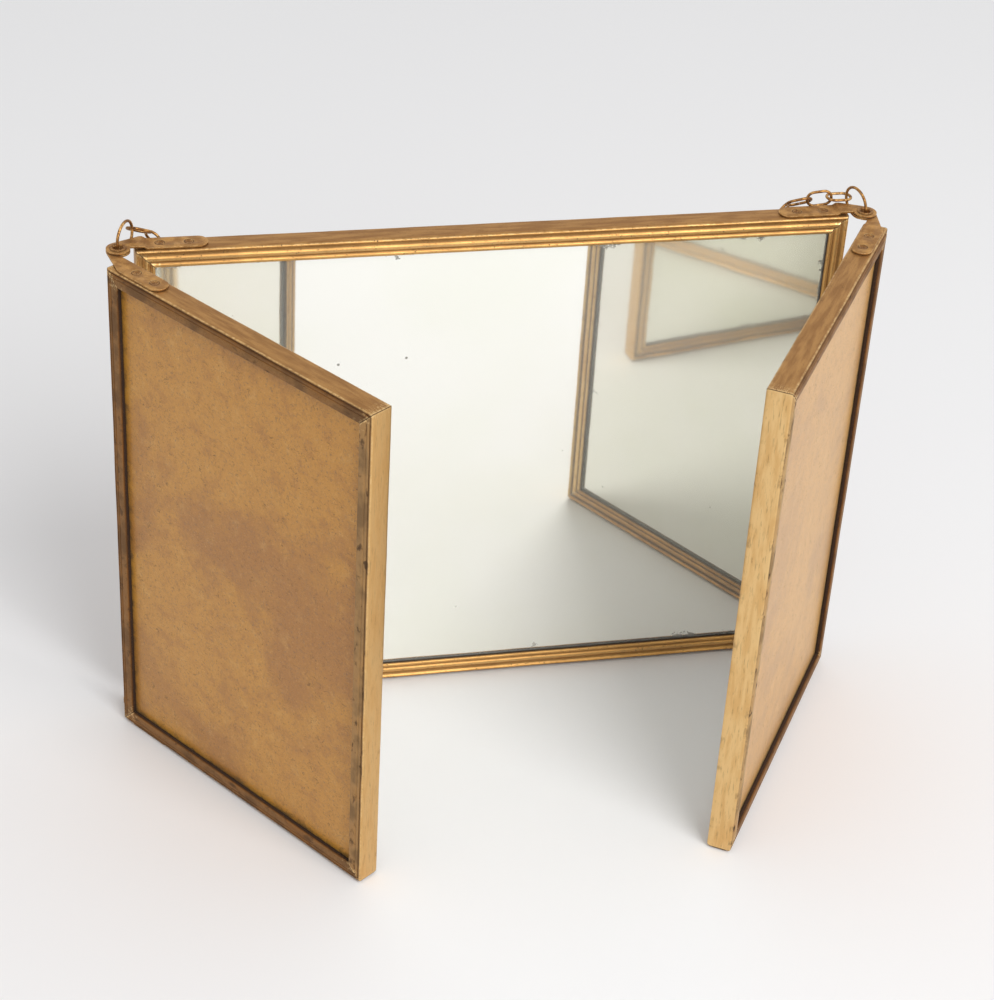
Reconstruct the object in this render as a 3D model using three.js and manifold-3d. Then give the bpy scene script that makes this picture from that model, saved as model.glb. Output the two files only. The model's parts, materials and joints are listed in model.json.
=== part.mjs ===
// Folding three-panel mirror: a centre panel with two half-width wings that fold over it like
// shutters, and a chain behind it to hang it by. Millimetres, +Z up, the centre mirror faces -Y,
// origin at the bottom centre of the box that holds the part as it stands, wings folded forward.
import * as THREE from 'three';
import { mergeVertices } from 'three/addons/utils/BufferGeometryUtils.js';
import Module from 'manifold-3d';

const wasm = await Module();
wasm.setup();

// Panels
const CENTRE_WIDTH = 246;
const WING_WIDTH = 122;
const PANEL_HEIGHT = 186;
const PANEL_DEPTH = 9;
const SHEET = 0.6;
const FIT = 0.1;
const GLASS_MARGIN = 3;
const BOARD_MARGIN = 1.6;
const GLASS_FROM = 2.1;
const GLASS_THICKNESS = 2;
const CARD_FROM = 4.3;
const CARD_THICKNESS = 1;
const BACK_FROM = 5.5;
const BACK_THICKNESS = 1.3;

// Hinge straps and pivots
const STRAP_THICKNESS = 0.7;
const STRAP_WIDTH = 7.2;
const STRAP_HALF = STRAP_WIDTH / 2;
const PANEL_FOOT = STRAP_THICKNESS + FIT;
const PANEL_TOP = PANEL_FOOT + PANEL_HEIGHT;
const LAYER = STRAP_THICKNESS + FIT;
const EYELET_MIDDLE = PANEL_TOP + LAYER + FIT / 2;
const PIVOT_OUTBOARD = 5.5;
const PIVOT_BEHIND_FACE = 0.5;
const CLOSED_GAP = 0.5;
const WING_FACE_FROM_PIVOT = PIVOT_BEHIND_FACE + CLOSED_GAP;
const PIVOT_X = CENTRE_WIDTH / 2 + PIVOT_OUTBOARD;
const EYE_RADIUS = 4;
const EYE_TANGENT = THREE.MathUtils.degToRad(114);
const CENTRE_RIVETS = [13.9, 23.5];
const WING_RIVETS = [15.7, 24.5];
const CENTRE_STRAP_END = 29.9;
const WING_STRAP_END = 29.5;
const TOP_JOGGLE = [8.2, 9.8];
const BOTTOM_JOGGLE = [4.15, 5.3];
const BORE_RADIUS = 1.65;
const BARREL_RADIUS = 2.05;
const BARREL_HOLE_RADIUS = BARREL_RADIUS + FIT;
const BARREL_CUTTER_LENGTH = 6;
const FLANGE_RADIUS = 2.8;
const FLANGE_THICKNESS = 0.3;
const DOME_HEIGHT = 0.7;
const DOME_SHOULDER_RADIUS = 2.2;
const DOME_SHOULDER_HEIGHT = 0.5;
const COUNTERSINK_DEPTH = 0.45;
const ROUND_SEGMENTS = 20;

// Flush rivets
const RIVET_HEAD_RADIUS = 1.6;
const RIVET_HEAD_TOP = 0.75;
const RIVET_CONE_FOOT = 0.25;
const RIVET_SHANK_RADIUS = 1;
const RIVET_TAIL_RADIUS = 1.5;
const RIVET_TAIL_HEIGHT = 0.5;
const RIVET_DIMPLE_RADIUS = 1.1;
const RIVET_DIMPLE_DEPTH = 0.3;
const RIVET_SEGMENTS = 10;

// Foot tabs under the free end of each wing
const TAB_LENGTH = 5.6;
const TAB_WIDTH = 5;
const TAB_CORNER = 1.2;
const TAB_INSET = 0.6;

// Rest pose: how far each wing stands open from shut
const LEFT_OPENING = THREE.MathUtils.degToRad(54.3);
const RIGHT_OPENING = THREE.MathUtils.degToRad(57.3);

// Chain. Directions are [azimuth from +X, elevation, roll of the link's own plane] in degrees.
const WIRE_RADIUS = 0.5;
const RING_RADIUS = 5.5;
const LINK_BEND_RADIUS = 2.6;
const LINK_HALF_STRAIGHT = 1.7;
const LINK_END = LINK_BEND_RADIUS + LINK_HALF_STRAIGHT;
const LINK_PITCH = 7.85;
const HOOK_REACH = 2.8;
const LINK_TWIST = THREE.MathUtils.degToRad(45);
const DRAPED_LINKS = 35;
const LEFT_RING = { inward: 1, azimuth: 59.5, rise: 24.7, lean: 1, hook: 6.2 };
const RIGHT_RING = { inward: -1, azimuth: 70.5, rise: 19.2, lean: 6.3, hook: -2.3 };
const FIRST_LINK = [22.7, -25.1, -30.5];
const SHOULDER_LINK = [181.3, 1.1, 0];
const EDGE_LINK = [173.8, -8.9, 0];
const LAST_LINK = [169.2, -15.7, 44.1];
const BISECTIONS = 60;
const FLATTEST_CURVE = 10;
const STEEPEST_CURVE = 0.01;
const WIRE_SIDES = 6;
const RING_SEGMENTS = 26;
const LINK_SEGMENTS = 14;
const DRAPED_WIRE_SIDES = 5;
const DRAPED_LINK_SEGMENTS = 10;

const MERGE_DISTANCE = 1e-4;

const ORIGIN = new THREE.Vector3(0, -48.5, 0);

const MATERIALS = {
  brass: { color: 0x8a6236, roughness: 0.42, metalness: 0.85 },
  strap: { color: 0x80603a, roughness: 0.5, metalness: 0.8 },
  rivet: { color: 0x5f452b, roughness: 0.5, metalness: 0.8 },
  mirror: { color: 0xc9d1b8, roughness: 0.05, metalness: 1 },
  card: { color: 0x8d7350, roughness: 0.95, metalness: 0 },
  board: { color: 0xb48f55, roughness: 0.9, metalness: 0 },
  chain: { color: 0x6b5334, roughness: 0.4, metalness: 0.9 },
};

// Section of a rail, [inward from the outer edge, back from the front], one bent brass sheet:
// outer band, beaded front flange with a return, back flange with a bead and a return.
const RAIL_SECTION = [
  [0, 1],
  [0.25, 0.25],
  [0.6, 0],
  [1, 0.15],
  [1.4, 0.7],
  [2.4, 0.75],
  [2.8, 0.3],
  [3.5, 0.1],
  [4.2, 0.3],
  [4.5, 0.75],
  [4.9, 0.75],
  [5.2, 0.35],
  [5.8, 0.15],
  [6.3, 0.35],
  [6.5, 0.8],
  [6.5, 1.9],
  [5.9, 1.9],
  [5.9, 1.35],
  [SHEET, 1.35],
  [SHEET, 7.7],
  [2.2, 7.7],
  [2.5, 8.4],
  [4.6, 8.4],
  [4.6, 7],
  [5.2, 7],
  [5.2, 8.75],
  [4.95, PANEL_DEPTH],
  [2.6, PANEL_DEPTH],
  [2.35, 8.65],
  [2.15, 8.65],
  [1.95, 8.9],
  [1.3, 8.9],
  [1.1, 8.35],
  [0.9, 8.35],
  [0.7, 8.65],
  [0.35, 8.65],
  [0, 8.2],
];

const X_AXIS = new THREE.Vector3(1, 0, 0);
const Y_AXIS = new THREE.Vector3(0, 1, 0);
const Z_AXIS = new THREE.Vector3(0, 0, 1);

function material(name) {
  return new THREE.MeshStandardMaterial(MATERIALS[name]);
}

function polygon(points) {
  return new THREE.Shape(points.map(([x, y]) => new THREE.Vector2(x, y)));
}

function extrude(shape, depth) {
  return new THREE.ExtrudeGeometry(shape, { depth, steps: 1, bevelEnabled: false });
}

function lathe(profile, segments) {
  const points = profile.map(([radius, height]) => new THREE.Vector2(radius, height));
  const geometry = new THREE.LatheGeometry(points, segments);
  geometry.rotateX(Math.PI / 2);
  return geometry;
}

// Exact joins and cuts
function toSolid(geometry) {
  const bare = geometry.clone();
  bare.deleteAttribute('normal');
  bare.deleteAttribute('uv');
  const merged = mergeVertices(bare, MERGE_DISTANCE);
  return new wasm.Manifold(new wasm.Mesh({
    numProp: 3,
    vertProperties: new Float32Array(merged.attributes.position.array),
    triVerts: new Uint32Array(merged.index.array),
  }));
}

function fromSolid(solid) {
  const mesh = solid.getMesh();
  const geometry = new THREE.BufferGeometry();
  geometry.setAttribute('position', new THREE.BufferAttribute(mesh.vertProperties, 3));
  geometry.setIndex(new THREE.BufferAttribute(mesh.triVerts, 1));
  geometry.computeVertexNormals();
  return geometry;
}

function cut(geometry, cutters) {
  const result = cutters.reduce((body, cutter) => body.subtract(toSolid(cutter)), toSolid(geometry));
  return fromSolid(result);
}

function addMesh(parent, name, geometry, materialName) {
  const mesh = new THREE.Mesh(geometry, material(materialName));
  mesh.name = name;
  parent.add(mesh);
  return mesh;
}

// A rail runs along its local Z, section in X (inward) and Y (back), ends mitred at 45 degrees.
function railGeometry(length, holeStations) {
  const geometry = extrude(polygon(RAIL_SECTION), length);
  const position = geometry.attributes.position;
  for (let i = 0; i < position.count; i += 1) {
    const inset = position.getX(i) + FIT / 2;
    const atStart = position.getZ(i) < length / 2;
    position.setZ(i, atStart ? inset : length - inset);
  }
  if (holeStations.length === 0) {
    return geometry;
  }
  const holes = holeStations.map((station) => {
    const hole = new THREE.CylinderGeometry(
      RIVET_SHANK_RADIUS + FIT,
      RIVET_SHANK_RADIUS + FIT,
      2 * SHEET,
      RIVET_SEGMENTS,
    );
    hole.rotateZ(Math.PI / 2);
    hole.translate(SHEET / 2, PANEL_DEPTH / 2, station);
    return hole;
  });
  return cut(geometry, holes);
}

// Each rail: corner it starts from, its inward direction, and the rail's own run.
function addRail(panel, name, start, inward, length, holeStations) {
  const rail = addMesh(panel, name, railGeometry(length, holeStations), 'brass');
  const run = new THREE.Vector3().crossVectors(inward, Y_AXIS);
  rail.quaternion.setFromRotationMatrix(new THREE.Matrix4().makeBasis(inward, Y_AXIS, run));
  rail.position.copy(start);
}

function addSheet(panel, name, width, margin, from, thickness, materialName) {
  const geometry = new THREE.BoxGeometry(width - 2 * margin, thickness, PANEL_HEIGHT - 2 * margin);
  const sheet = addMesh(panel, name, geometry, materialName);
  sheet.position.set(width / 2, from + thickness / 2, PANEL_HEIGHT / 2);
}

// A panel: front face at y 0, left edge (seen from the mirror side) at x 0, underside at z 0.
function addPanel(group, name, width, sideNames, holesFromLeft) {
  const panel = new THREE.Group();
  group.add(panel);
  const corner = (x, z) => new THREE.Vector3(x, 0, z);
  const fromRight = holesFromLeft.map((station) => width - station);
  const up = Z_AXIS;
  const down = Z_AXIS.clone().negate();
  const right = X_AXIS;
  const left = X_AXIS.clone().negate();
  addRail(panel, `${name}_rail_top`, corner(0, PANEL_HEIGHT), down, width, holesFromLeft);
  addRail(panel, `${name}_rail_bottom`, corner(width, 0), up, width, fromRight);
  addRail(panel, `${name}_rail_${sideNames[0]}`, corner(0, 0), right, PANEL_HEIGHT, []);
  addRail(panel, `${name}_rail_${sideNames[1]}`, corner(width, PANEL_HEIGHT), left, PANEL_HEIGHT, []);
  addSheet(panel, `${name}_mirror`, width, GLASS_MARGIN, GLASS_FROM, GLASS_THICKNESS, 'mirror');
  addSheet(panel, `${name}_packing_card`, width, BOARD_MARGIN, CARD_FROM, CARD_THICKNESS, 'card');
  addSheet(panel, `${name}_back_board`, width, BOARD_MARGIN, BACK_FROM, BACK_THICKNESS, 'board');
  return panel;
}

// Rivet on its own axis: z 0 at the rail's band, head outward, tail inside the channel.
function rivetGeometry() {
  return lathe([
    [0, -SHEET - FIT - RIVET_TAIL_HEIGHT],
    [RIVET_TAIL_RADIUS, -SHEET - FIT - RIVET_TAIL_HEIGHT],
    [RIVET_TAIL_RADIUS, -SHEET - FIT],
    [RIVET_SHANK_RADIUS, -SHEET - FIT],
    [RIVET_SHANK_RADIUS, RIVET_CONE_FOOT],
    [RIVET_HEAD_RADIUS, RIVET_HEAD_TOP],
    [RIVET_DIMPLE_RADIUS, RIVET_HEAD_TOP],
    [0, RIVET_HEAD_TOP - RIVET_DIMPLE_DEPTH],
  ], RIVET_SEGMENTS);
}

// Countersunk hole that such a rivet sits in, cut clear through the strap.
function rivetCutter() {
  return lathe([
    [0, -FIT],
    [RIVET_SHANK_RADIUS + FIT, -FIT],
    [RIVET_SHANK_RADIUS + FIT, RIVET_CONE_FOOT],
    [RIVET_HEAD_RADIUS + FIT, RIVET_HEAD_TOP],
    [RIVET_HEAD_RADIUS + FIT, LAYER + FIT],
    [0, LAYER + FIT],
  ], RIVET_SEGMENTS);
}

// Plan of a strap from its pivot: s along the panel, t across its thickness, eye round the pivot.
function strapPlan(side, rivetLine, end) {
  const low = rivetLine - STRAP_HALF;
  const high = rivetLine + STRAP_HALF;
  const eyeStart = Math.asin(low / EYE_RADIUS);
  const rise = high - EYE_RADIUS * Math.sin(EYE_TANGENT);
  const run = rise / Math.tan(EYE_TANGENT - Math.PI / 2);
  const shoulder = EYE_RADIUS * Math.cos(EYE_TANGENT) + run;
  const plan = new THREE.Shape();
  plan.absarc(0, 0, EYE_RADIUS, eyeStart, EYE_TANGENT, true);
  plan.lineTo(shoulder, high);
  plan.lineTo(end - STRAP_HALF, high);
  plan.absarc(end - STRAP_HALF, rivetLine, STRAP_HALF, Math.PI / 2, -Math.PI / 2, true);
  const points = plan.extractPoints(ROUND_SEGMENTS / 2).shape;
  return polygon(points.map((point) => [side * point.x, point.y]));
}

// Side view of a strap: its eye one layer off the panel's band, the rest lying on the band.
function joggleProfile(side, joggle, reach) {
  const slope = Math.atan2(LAYER, joggle[1] - joggle[0]);
  const lag = STRAP_THICKNESS * Math.tan(slope / 2);
  return polygon([
    [-reach, LAYER],
    [joggle[0], LAYER],
    [joggle[1], 0],
    [reach, 0],
    [reach, STRAP_THICKNESS],
    [joggle[1] + lag, STRAP_THICKNESS],
    [joggle[0] + lag, LAYER + STRAP_THICKNESS],
    [-reach, LAYER + STRAP_THICKNESS],
  ].map(([s, z]) => [side * s, z]));
}

// Strap lying on z 0 with its eye at the origin; joggle is null for a flat strap.
function strapGeometry({ side, rivetLine, end, rivets, joggle, headUp }) {
  const plan = strapPlan(side, rivetLine, end);
  const reach = 2 * end;
  let solid = toSolid(extrude(plan, joggle ? LAYER + STRAP_THICKNESS : STRAP_THICKNESS));
  if (joggle) {
    const profile = extrude(joggleProfile(side, joggle, reach), reach);
    profile.rotateX(Math.PI / 2);
    profile.translate(0, reach / 2, 0);
    solid = solid.intersect(toSolid(profile));
  }
  const barrel = new THREE.CylinderGeometry(
    BARREL_HOLE_RADIUS,
    BARREL_HOLE_RADIUS,
    BARREL_CUTTER_LENGTH,
    ROUND_SEGMENTS,
  );
  barrel.rotateX(Math.PI / 2);
  solid = solid.subtract(toSolid(barrel));
  rivets.forEach((station) => {
    const cutter = rivetCutter();
    if (headUp) {
      cutter.translate(0, 0, -FIT);
    } else {
      cutter.rotateX(Math.PI);
      cutter.translate(0, 0, LAYER);
    }
    cutter.translate(side * station, rivetLine, 0);
    solid = solid.subtract(toSolid(cutter));
  });
  return solid;
}

function countersink() {
  return lathe([
    [0, -FIT],
    [FLANGE_RADIUS + FIT, -FIT],
    [FLANGE_RADIUS + FIT, 0],
    [BARREL_HOLE_RADIUS, COUNTERSINK_DEPTH],
    [0, COUNTERSINK_DEPTH],
  ], ROUND_SEGMENTS);
}

// Straps and rivets of one panel end, in a frame whose origin is the pivot at floor level.
function addStraps(group, { name, side, rivetLine, end, rivets, raisedAtTop }) {
  const top = strapGeometry({
    side, rivetLine, end, rivets, joggle: raisedAtTop ? TOP_JOGGLE : null, headUp: true,
  });
  const topStrap = addMesh(group, `${name}_strap_top`, fromSolid(top), 'strap');
  topStrap.position.z = PANEL_TOP + FIT;
  let bottom = strapGeometry({
    side, rivetLine, end, rivets, joggle: raisedAtTop ? null : BOTTOM_JOGGLE, headUp: false,
  });
  if (raisedAtTop) {
    bottom = bottom.subtract(toSolid(countersink()));
  }
  addMesh(group, `${name}_strap_bottom`, fromSolid(bottom), 'strap');
  rivets.forEach((station, index) => {
    const order = index === 0 ? 'outer' : 'inner';
    const topRivet = addMesh(group, `${name}_rivet_top_${order}`, rivetGeometry(), 'rivet');
    topRivet.position.set(side * station, rivetLine, PANEL_TOP);
    const bottomRivet = addMesh(group, `${name}_rivet_bottom_${order}`, rivetGeometry(), 'rivet');
    bottomRivet.rotation.x = Math.PI;
    bottomRivet.position.set(side * station, rivetLine, PANEL_FOOT);
  });
}

// Hollow eyelet that holds the two top eyes together and lets the chain's end ring through.
function eyeletGeometry() {
  const low = -FIT - FLANGE_THICKNESS;
  const high = LAYER + STRAP_THICKNESS + FIT + FLANGE_THICKNESS;
  return lathe([
    [BORE_RADIUS, low],
    [FLANGE_RADIUS, low],
    [FLANGE_RADIUS, low + FLANGE_THICKNESS],
    [BARREL_RADIUS, low + FLANGE_THICKNESS],
    [BARREL_RADIUS, high - FLANGE_THICKNESS],
    [FLANGE_RADIUS, high - FLANGE_THICKNESS],
    [FLANGE_RADIUS, high],
    [BORE_RADIUS, high],
    [BORE_RADIUS, low],
  ], ROUND_SEGMENTS);
}

// Solid pivot rivet of the two bottom eyes, flush underneath, domed on top.
function pivotRivetGeometry() {
  const seat = LAYER + STRAP_THICKNESS + FIT;
  return lathe([
    [0, 0],
    [FLANGE_RADIUS, 0],
    [BARREL_RADIUS, COUNTERSINK_DEPTH],
    [BARREL_RADIUS, seat],
    [FLANGE_RADIUS, seat],
    [DOME_SHOULDER_RADIUS, seat + DOME_SHOULDER_HEIGHT],
    [0, seat + DOME_HEIGHT],
  ], ROUND_SEGMENTS);
}

function footTabGeometry() {
  const tab = new THREE.Shape();
  tab.moveTo(0, 0);
  tab.lineTo(TAB_LENGTH, 0);
  tab.lineTo(TAB_LENGTH, TAB_WIDTH);
  tab.lineTo(TAB_CORNER, TAB_WIDTH);
  tab.lineTo(0, TAB_WIDTH - TAB_CORNER);
  return extrude(tab, STRAP_THICKNESS);
}

// Chain pieces. A hooked piece is { centre, along, normal }: its long direction and its plane.
function direction([azimuth, elevation]) {
  const turn = THREE.MathUtils.degToRad(azimuth);
  const tilt = THREE.MathUtils.degToRad(elevation);
  return new THREE.Vector3(
    Math.cos(tilt) * Math.cos(turn),
    Math.cos(tilt) * Math.sin(turn),
    Math.sin(tilt),
  );
}

// Round end ring through an eyelet: it starts from the bore and leans inward behind the panel.
function ringPose({ inward, azimuth, rise, lean, hook }) {
  const turn = THREE.MathUtils.degToRad(azimuth);
  const tilt = THREE.MathUtils.degToRad(lean);
  const level = new THREE.Vector3(inward * Math.cos(turn), Math.sin(turn), 0);
  const side = new THREE.Vector3(inward * Math.sin(turn), -Math.cos(turn), 0);
  const upright = Z_AXIS.clone().multiplyScalar(Math.cos(tilt)).addScaledVector(side, Math.sin(tilt));
  const around = (degrees, offset) => {
    const angle = THREE.MathUtils.degToRad(degrees) + offset;
    return level.clone().multiplyScalar(Math.cos(angle)).addScaledVector(upright, Math.sin(angle));
  };
  const bore = new THREE.Vector3(-inward * PIVOT_X, PIVOT_BEHIND_FACE, EYELET_MIDDLE);
  const centre = bore.addScaledVector(around(rise, 0), RING_RADIUS);
  return {
    centre,
    along: level,
    normal: new THREE.Vector3().crossVectors(level, upright),
    hookPoint: centre.clone().addScaledVector(around(hook, 0), RING_RADIUS),
    hookTangent: around(hook, Math.PI / 2),
  };
}

// Link hung on a wire at a point: its plane faces along that wire, then rolls.
function hookedLink(point, tangent, bearing) {
  const along = direction(bearing);
  const normal = tangent.clone().addScaledVector(along, -tangent.dot(along)).normalize();
  normal.applyAxisAngle(along, THREE.MathUtils.degToRad(bearing[2]));
  const centre = point.clone().addScaledVector(along, HOOK_REACH);
  return {
    centre,
    along,
    normal,
    hookPoint: centre.clone().addScaledVector(along, LINK_END),
    hookTangent: new THREE.Vector3().crossVectors(normal, along),
    joint: centre.clone().addScaledVector(along, LINK_PITCH / 2),
  };
}

function placed(geometry, { centre, along, normal }) {
  const across = new THREE.Vector3().crossVectors(normal, along);
  return geometry.applyMatrix4(new THREE.Matrix4().makeBasis(along, across, normal).setPosition(centre));
}

function linkGeometry(wireSides, segments) {
  const geometry = new THREE.TorusGeometry(LINK_BEND_RADIUS, WIRE_RADIUS, wireSides, segments);
  const position = geometry.attributes.position;
  for (let i = 0; i < position.count; i += 1) {
    const x = position.getX(i);
    position.setX(i, x + Math.sign(x) * LINK_HALF_STRAIGHT);
  }
  return geometry;
}

// Points at equal steps along a catenary of the given length hung between two points.
function catenary(start, end, length, steps) {
  const span = end.x - start.x;
  const rise = end.z - start.z;
  const slack = Math.sqrt(length * length - rise * rise);
  let low = span * STEEPEST_CURVE;
  let high = span * FLATTEST_CURVE;
  for (let i = 0; i < BISECTIONS; i += 1) {
    const middle = (low + high) / 2;
    if (2 * middle * Math.sinh(span / (2 * middle)) > slack) {
      low = middle;
    } else {
      high = middle;
    }
  }
  const scale = low;
  const bottom = span / 2 - scale * Math.atanh(rise / length);
  const first = scale * Math.sinh(-bottom / scale);
  return Array.from({ length: steps + 1 }, (_, i) => {
    const arc = first + (length * i) / steps;
    return new THREE.Vector3(
      start.x + bottom + scale * Math.asinh(arc / scale),
      THREE.MathUtils.lerp(start.y, end.y, i / steps),
      start.z + Math.hypot(scale, arc) - Math.hypot(scale, first),
    );
  });
}

// Links between two joints, each turned a quarter from the one before.
function drapedLinks(start, end) {
  const joints = catenary(start, end, DRAPED_LINKS * LINK_PITCH, DRAPED_LINKS);
  return joints.slice(1).map((joint, i) => {
    const along = joint.clone().sub(joints[i]).normalize();
    const normal = Y_AXIS.clone().addScaledVector(along, -along.y).normalize();
    normal.applyAxisAngle(along, i % 2 === 0 ? LINK_TWIST : -LINK_TWIST);
    return { centre: joint.clone().add(joints[i]).multiplyScalar(0.5), along, normal };
  });
}

function hangingChainGeometry(poses) {
  const solids = poses.map((pose) => (
    toSolid(placed(linkGeometry(DRAPED_WIRE_SIDES, DRAPED_LINK_SEGMENTS), pose))
  ));
  return fromSolid(solids.reduce((chain, link) => chain.add(link)));
}

// Assembly, built with the centre panel's front bottom middle at x 0, y 0
const mirror = new THREE.Group();
mirror.name = 'triptych_mirror';
const assembly = new THREE.Group();
assembly.position.copy(ORIGIN).negate();
mirror.add(assembly);

const centreHoles = CENTRE_RIVETS.map((station) => station - PIVOT_OUTBOARD);
const wingHoles = WING_RIVETS.map((station) => station - PIVOT_OUTBOARD);
const mirrored = (stations, width) => stations.map((station) => width - station);

const centrePanel = addPanel(
  assembly,
  'centre',
  CENTRE_WIDTH,
  ['left', 'right'],
  [...centreHoles, ...mirrored(centreHoles, CENTRE_WIDTH)],
);
centrePanel.position.set(-CENTRE_WIDTH / 2, 0, PANEL_FOOT);

[
  { hand: 'left', inward: 1, opening: LEFT_OPENING, sides: ['free', 'hinge'] },
  { hand: 'right', inward: -1, opening: RIGHT_OPENING, sides: ['hinge', 'free'] },
].forEach(({ hand, inward, opening, sides }) => {
  const pivotAtCentre = new THREE.Group();
  pivotAtCentre.position.set(-inward * PIVOT_X, PIVOT_BEHIND_FACE, 0);
  assembly.add(pivotAtCentre);
  addStraps(pivotAtCentre, {
    name: `centre_${hand}`,
    side: inward,
    rivetLine: PANEL_DEPTH / 2 - PIVOT_BEHIND_FACE,
    end: CENTRE_STRAP_END,
    rivets: CENTRE_RIVETS,
    raisedAtTop: true,
  });
  const eyelet = addMesh(pivotAtCentre, `${hand}_top_eyelet`, eyeletGeometry(), 'rivet');
  eyelet.position.z = PANEL_TOP + FIT;
  addMesh(pivotAtCentre, `${hand}_bottom_pivot_rivet`, pivotRivetGeometry(), 'rivet');

  const wing = new THREE.Group();
  wing.position.copy(pivotAtCentre.position);
  wing.rotation.z = inward * (Math.PI - opening);
  assembly.add(wing);
  addStraps(wing, {
    name: `${hand}_wing`,
    side: -inward,
    rivetLine: WING_FACE_FROM_PIVOT + PANEL_DEPTH / 2,
    end: WING_STRAP_END,
    rivets: WING_RIVETS,
    raisedAtTop: false,
  });
  const holes = inward < 0 ? wingHoles : mirrored(wingHoles, WING_WIDTH);
  const panel = addPanel(wing, `${hand}_wing`, WING_WIDTH, sides, holes);
  const panelLeft = inward < 0 ? PIVOT_OUTBOARD : -PIVOT_OUTBOARD - WING_WIDTH;
  panel.position.set(panelLeft, WING_FACE_FROM_PIVOT, PANEL_FOOT);
  const tab = addMesh(wing, `${hand}_wing_foot_tab`, footTabGeometry(), 'strap');
  const tabLeft = inward < 0 ? WING_WIDTH - TAB_INSET - TAB_LENGTH : TAB_INSET;
  tab.position.set(panelLeft + tabLeft, WING_FACE_FROM_PIVOT + (PANEL_DEPTH - TAB_WIDTH) / 2, 0);
});

const leftRing = ringPose(LEFT_RING);
const rightRing = ringPose(RIGHT_RING);
const shoulderLink = hookedLink(rightRing.hookPoint, rightRing.hookTangent, SHOULDER_LINK);
const edgeLink = hookedLink(shoulderLink.hookPoint, shoulderLink.hookTangent, EDGE_LINK);
const firstLink = hookedLink(leftRing.hookPoint, leftRing.hookTangent, FIRST_LINK);
const lastLink = hookedLink(edgeLink.hookPoint, edgeLink.hookTangent, LAST_LINK);

[['left_end_ring', leftRing], ['right_end_ring', rightRing]].forEach(([name, pose]) => {
  const ring = new THREE.TorusGeometry(RING_RADIUS, WIRE_RADIUS, WIRE_SIDES, RING_SEGMENTS);
  addMesh(assembly, name, placed(ring, pose), 'chain');
});
[['shoulder_link', shoulderLink], ['edge_link', edgeLink]].forEach(([name, pose]) => {
  addMesh(assembly, name, placed(linkGeometry(WIRE_SIDES, LINK_SEGMENTS), pose), 'chain');
});
const chainPoses = [firstLink, ...drapedLinks(firstLink.joint, lastLink.joint), lastLink];
addMesh(assembly, 'hanging_chain', hangingChainGeometry(chainPoses), 'chain');

export default mirror;
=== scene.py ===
import json
import math
from collections import defaultdict, namedtuple

import bmesh
import bpy
from bpy.props import FloatProperty, FloatVectorProperty, PointerProperty
from mathutils import Matrix, Vector, noise
from mathutils.geometry import tessellate_polygon

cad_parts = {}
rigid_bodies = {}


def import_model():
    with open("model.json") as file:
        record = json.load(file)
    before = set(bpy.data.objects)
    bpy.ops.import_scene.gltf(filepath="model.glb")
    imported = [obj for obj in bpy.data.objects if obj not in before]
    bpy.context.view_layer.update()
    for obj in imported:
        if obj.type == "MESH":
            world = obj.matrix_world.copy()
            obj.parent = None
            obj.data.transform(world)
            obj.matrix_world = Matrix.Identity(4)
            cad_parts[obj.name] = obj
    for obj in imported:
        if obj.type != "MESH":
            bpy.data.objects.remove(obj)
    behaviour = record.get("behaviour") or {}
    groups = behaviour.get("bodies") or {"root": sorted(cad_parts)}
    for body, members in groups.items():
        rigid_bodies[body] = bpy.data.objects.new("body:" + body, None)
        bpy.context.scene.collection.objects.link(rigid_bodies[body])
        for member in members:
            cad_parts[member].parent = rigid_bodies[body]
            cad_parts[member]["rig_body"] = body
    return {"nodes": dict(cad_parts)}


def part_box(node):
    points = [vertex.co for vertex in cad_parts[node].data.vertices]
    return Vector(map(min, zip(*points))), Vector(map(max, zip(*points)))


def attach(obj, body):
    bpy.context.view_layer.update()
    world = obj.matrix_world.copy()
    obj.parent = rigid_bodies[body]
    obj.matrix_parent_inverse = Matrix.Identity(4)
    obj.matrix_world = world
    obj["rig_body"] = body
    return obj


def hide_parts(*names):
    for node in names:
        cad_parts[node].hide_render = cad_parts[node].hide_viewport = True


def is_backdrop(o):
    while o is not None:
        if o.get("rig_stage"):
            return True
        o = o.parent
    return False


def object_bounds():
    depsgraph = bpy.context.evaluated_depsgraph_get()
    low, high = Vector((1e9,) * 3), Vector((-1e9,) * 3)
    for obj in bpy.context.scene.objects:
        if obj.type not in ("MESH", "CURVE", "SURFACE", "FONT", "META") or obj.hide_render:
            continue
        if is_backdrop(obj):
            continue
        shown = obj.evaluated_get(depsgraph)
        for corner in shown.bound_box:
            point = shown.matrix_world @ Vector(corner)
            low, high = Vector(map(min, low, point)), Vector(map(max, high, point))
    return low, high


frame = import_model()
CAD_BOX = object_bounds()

bl_info = {
    "name": "Triptych Mirror",
    "version": (1, 0, 0),
    "blender": (4, 5, 0),
    "location": "3D View > Sidebar > Triptych",
    "description": "Dresses a small folding three-panel mirror",
    "category": "Object",
}

MM = 0.001
HANDS = {"left": -1, "right": 1}
# Each panel's upright rails, from the left of its mirror side
PANELS = {
    "centre": ("left", "right"),
    "left_wing": ("free", "hinge"),
    "right_wing": ("hinge", "free"),
}
BOTTOM_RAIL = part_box("centre_rail_bottom")
TOP_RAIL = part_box("centre_rail_top")
FRONT = BOTTOM_RAIL[0].y / MM

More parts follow.
